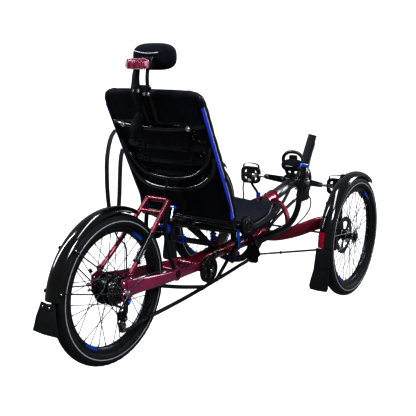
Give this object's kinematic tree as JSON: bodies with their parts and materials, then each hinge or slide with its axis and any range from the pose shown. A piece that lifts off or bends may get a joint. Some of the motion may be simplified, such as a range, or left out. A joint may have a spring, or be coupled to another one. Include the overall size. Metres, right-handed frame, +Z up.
{
  "type": "adult tricycle",
  "caption": "Recumbent adult tricycle with steered front wheels, a sprung rear wheel, a reclining mesh seat with headrest, and pedals ahead on a boom.",
  "frame": {"origin": "on the ground at the middle of the tricycle's length and width", "axes": "+Z up; +Y from the pedals towards the rear wheel, so the rider faces -Y; +X towards the rider's left"},
  "size_m": [0.814, 1.7135, 1.0272],
  "materials": {
    "rear_tyre": "treaded, with a pale reflective line on each sidewall",
    "rear_rim": "black anodised",
    "rear_spokes": "bright",
    "rear_hub": "satin black powder coat",
    "front_tyre_left": "treaded, with a pale reflective line on each sidewall",
    "front_tyre_right": "treaded, with a pale reflective line on each sidewall",
    "front_rim_left": "black anodised",
    "front_rim_right": "black anodised",
    "front_spokes_left": "bright",
    "front_spokes_right": "bright",
    "front_hub_left": "satin black powder coat",
    "front_hub_right": "satin black powder coat",
    "brake_disc_left": "bright",
    "brake_disc_right": "bright",
    "rear_fender": "gloss black",
    "rear_mudflap": "moulded rubber",
    "front_fender_left": "gloss black",
    "front_fender_right": "gloss black",
    "front_mudflap_left": "moulded rubber",
    "front_mudflap_right": "moulded rubber",
    "main_frame": "metallic candy red gloss paint",
    "boom": "satin black powder coat",
    "accessory_loop": "dark navy knit",
    "boom_lever": "blue anodised",
    "knuckle_left": "satin black powder coat",
    "knuckle_right": "satin black powder coat",
    "track_rod": "satin black powder coat",
    "drag_link": "satin black powder coat",
    "handlebar": "satin black powder coat",
    "grip_left": "ribbed",
    "grip_right": "ribbed",
    "brake_lever_left": "polished",
    "brake_lever_right": "polished",
    "crankset": "satin black powder coat",
    "chainring": "darkened",
    "pedal_left": "fine texture",
    "pedal_right": "fine texture",
    "cassette": "bright",
    "idler": "fine texture",
    "chain_tube_power_rear": "fine texture",
    "chain_tube_power_front": "fine texture",
    "chain_tube_return_rear": "fine texture",
    "chain_tube_return_front": "fine texture",
    "chain_front": "darkened",
    "chain_rear": "darkened",
    "derailleur_body": "fine texture",
    "derailleur_cage": "darkened",
    "swingarm": "metallic candy red gloss paint",
    "rear_stays": "metallic candy red gloss paint",
    "elastomer": "smooth",
    "seat_tower": "satin black powder coat",
    "recline_lever": "polished",
    "seat_back_frame": "satin black powder coat",
    "seat_back_mesh": "open mesh, bright blue piping along the side edges",
    "seat_base_frame": "satin black powder coat",
    "seat_base_mesh": "open mesh, bright blue piping along the side edges",
    "headrest_posts": "satin black powder coat",
    "headrest_pad": "dark navy knit",
    "tail_light": "translucent red",
    "side_strap": "black nylon webbing"
  },
  "bodies": {
    "frame": {"main_frame": "main_frame", "boom": "boom", "accessory_loop": "accessory_loop", "seat_tower": "seat_tower", "seat_base_frame": "seat_base_frame", "seat_base_mesh": "seat_base_mesh", "chain_tube_power_front": "chain_tube_power_front", "chain_tube_return_front": "chain_tube_return_front", "chain_front": "chain_front", "elastomer": "elastomer"},
    "swingarm": {"swingarm": "swingarm", "rear_stays": "rear_stays", "rear_fender": "rear_fender", "rear_mudflap": "rear_mudflap", "derailleur_body": "derailleur_body", "derailleur_cage": "derailleur_cage", "chain_tube_power_rear": "chain_tube_power_rear", "chain_tube_return_rear": "chain_tube_return_rear", "chain_rear": "chain_rear"},
    "rear_wheel": {"rear_tyre": "rear_tyre", "rear_rim": "rear_rim", "rear_spokes": "rear_spokes", "rear_hub": "rear_hub"},
    "cassette": {"cassette": "cassette"},
    "idler": {"idler": "idler"},
    "crank": {"crankset": "crankset", "chainring": "chainring"},
    "pedal_left": {"pedal_left": "pedal_left"},
    "pedal_right": {"pedal_right": "pedal_right"},
    "handlebar": {"handlebar": "handlebar", "grip_left": "grip_left", "grip_right": "grip_right"},
    "brake_lever_left": {"brake_lever_left": "brake_lever_left"},
    "brake_lever_right": {"brake_lever_right": "brake_lever_right"},
    "drag_link": {"drag_link": "drag_link"},
    "track_rod": {"track_rod": "track_rod"},
    "seat_back": {"seat_back_frame": "seat_back_frame", "seat_back_mesh": "seat_back_mesh", "side_strap": "side_strap"},
    "headrest": {"headrest_posts": "headrest_posts", "headrest_pad": "headrest_pad", "tail_light": "tail_light"},
    "recline_lever": {"recline_lever": "recline_lever"},
    "boom_lever": {"boom_lever": "boom_lever"},
    "knuckle_left": {"knuckle_left": "knuckle_left", "front_fender_left": "front_fender_left", "front_mudflap_left": "front_mudflap_left"},
    "front_wheel_left": {"front_tyre_left": "front_tyre_left", "front_rim_left": "front_rim_left", "front_spokes_left": "front_spokes_left", "front_hub_left": "front_hub_left", "brake_disc_left": "brake_disc_left"},
    "knuckle_right": {"knuckle_right": "knuckle_right", "front_fender_right": "front_fender_right", "front_mudflap_right": "front_mudflap_right"},
    "front_wheel_right": {"front_tyre_right": "front_tyre_right", "front_rim_right": "front_rim_right", "front_spokes_right": "front_spokes_right", "front_hub_right": "front_hub_right", "brake_disc_right": "brake_disc_right"}
  },
  "joints": [
    {"name": "rear_suspension", "type": "hinge", "parent": "frame", "child": "swingarm", "pos_m": [0, 0.13275, 0.225], "axis": [1, 0, 0], "range_deg": [-1, 5], "stiffness_Nm_per_rad": 2500, "deforming": ["elastomer"]},
    {"name": "rear_wheel_spin", "type": "hinge", "parent": "swingarm", "child": "rear_wheel", "pos_m": [0, 0.56275, 0.25], "axis": [1, 0, 0], "continuous": true},
    {"name": "handlebar_turn", "type": "hinge", "parent": "frame", "child": "handlebar", "pos_m": [0, -0.16225, 0.18], "axis": [0, 0, 1], "range_deg": [-25, 25]},
    {"name": "steer_left", "type": "hinge", "parent": "frame", "child": "knuckle_left", "pos_m": [0.3, -0.50125, 0.306], "axis": [0, 0, 1], "range_deg": [-25, 25]},
    {"name": "steer_right", "type": "hinge", "parent": "frame", "child": "knuckle_right", "pos_m": [-0.3, -0.50125, 0.306], "axis": [0, 0, 1], "range_deg": [-25, 25]},
    {"name": "front_wheel_left_spin", "type": "hinge", "parent": "knuckle_left", "child": "front_wheel_left", "pos_m": [0.374, -0.50125, 0.25], "axis": [1, 0, 0], "continuous": true},
    {"name": "front_wheel_right_spin", "type": "hinge", "parent": "knuckle_right", "child": "front_wheel_right", "pos_m": [-0.374, -0.50125, 0.25], "axis": [1, 0, 0], "continuous": true},
    {"name": "drag_link_pivot", "type": "hinge", "parent": "handlebar", "child": "drag_link", "pos_m": [0.008, -0.22025, 0.17], "axis": [0, 0, 1], "range_deg": [-25, 25]},
    {"name": "track_rod_pivot", "type": "hinge", "parent": "knuckle_right", "child": "track_rod", "pos_m": [-0.3, -0.55325, 0.23], "axis": [0, 0, 1], "range_deg": [-25, 25]},
    {"name": "crank_spin", "type": "hinge", "parent": "frame", "child": "crank", "pos_m": [0, -0.69925, 0.417], "axis": [1, 0, 0], "continuous": true},
    {"name": "pedal_left_spin", "type": "hinge", "parent": "crank", "child": "pedal_left", "pos_m": [0.15, -0.55441, 0.45196], "axis": [1, 0, 0], "continuous": true},
    {"name": "pedal_right_spin", "type": "hinge", "parent": "crank", "child": "pedal_right", "pos_m": [-0.15, -0.84409, 0.38204], "axis": [1, 0, 0], "continuous": true},
    {"name": "cassette_spin", "type": "hinge", "parent": "swingarm", "child": "cassette", "pos_m": [-0.04, 0.56275, 0.25], "axis": [1, 0, 0], "continuous": true},
    {"name": "idler_spin", "type": "hinge", "parent": "frame", "child": "idler", "pos_m": [-0.069, 0.10775, 0.208], "axis": [1, 0, 0], "continuous": true},
    {"name": "brake_lever_left_pull", "type": "hinge", "parent": "handlebar", "child": "brake_lever_left", "pos_m": [0.325, -0.16925, 0.563], "axis": [1, 0, 0], "range_deg": [-8, 0], "stiffness_Nm_per_rad": 3, "springref_deg": 5.73},
    {"name": "brake_lever_right_pull", "type": "hinge", "parent": "handlebar", "child": "brake_lever_right", "pos_m": [-0.325, -0.16925, 0.563], "axis": [1, 0, 0], "range_deg": [-8, 0], "stiffness_Nm_per_rad": 3, "springref_deg": 5.73},
    {"name": "seat_recline", "type": "hinge", "parent": "frame", "child": "seat_back", "pos_m": [0, 0.14775, 0.405], "axis": [1, 0, 0], "range_deg": [-3, 12]},
    {"name": "headrest_slide", "type": "slide", "parent": "seat_back", "child": "headrest", "axis": [0, 0.3796, 0.9252], "range_m": [0, 0.05]},
    {"name": "recline_lever_flip", "type": "hinge", "parent": "frame", "child": "recline_lever", "pos_m": [-0.013, 0.25075, 0.466], "axis": [1, 0, 0], "range_deg": [0, 100]},
    {"name": "boom_lever_flip", "type": "hinge", "parent": "frame", "child": "boom_lever", "pos_m": [0.03, -0.48325, 0.334], "axis": [1, 0, 0], "range_deg": [-100, 0]}
  ],
  "couplings": [
    {"joint": "steer_left", "follows": "handlebar_turn", "ratio": 1},
    {"joint": "steer_right", "follows": "handlebar_turn", "ratio": 1},
    {"joint": "drag_link_pivot", "follows": "handlebar_turn", "ratio": -1},
    {"joint": "track_rod_pivot", "follows": "handlebar_turn", "ratio": -1},
    {"joint": "cassette_spin", "follows": "crank_spin", "ratio": 1.3913},
    {"joint": "idler_spin", "follows": "crank_spin", "ratio": -1.3333}
  ]
}
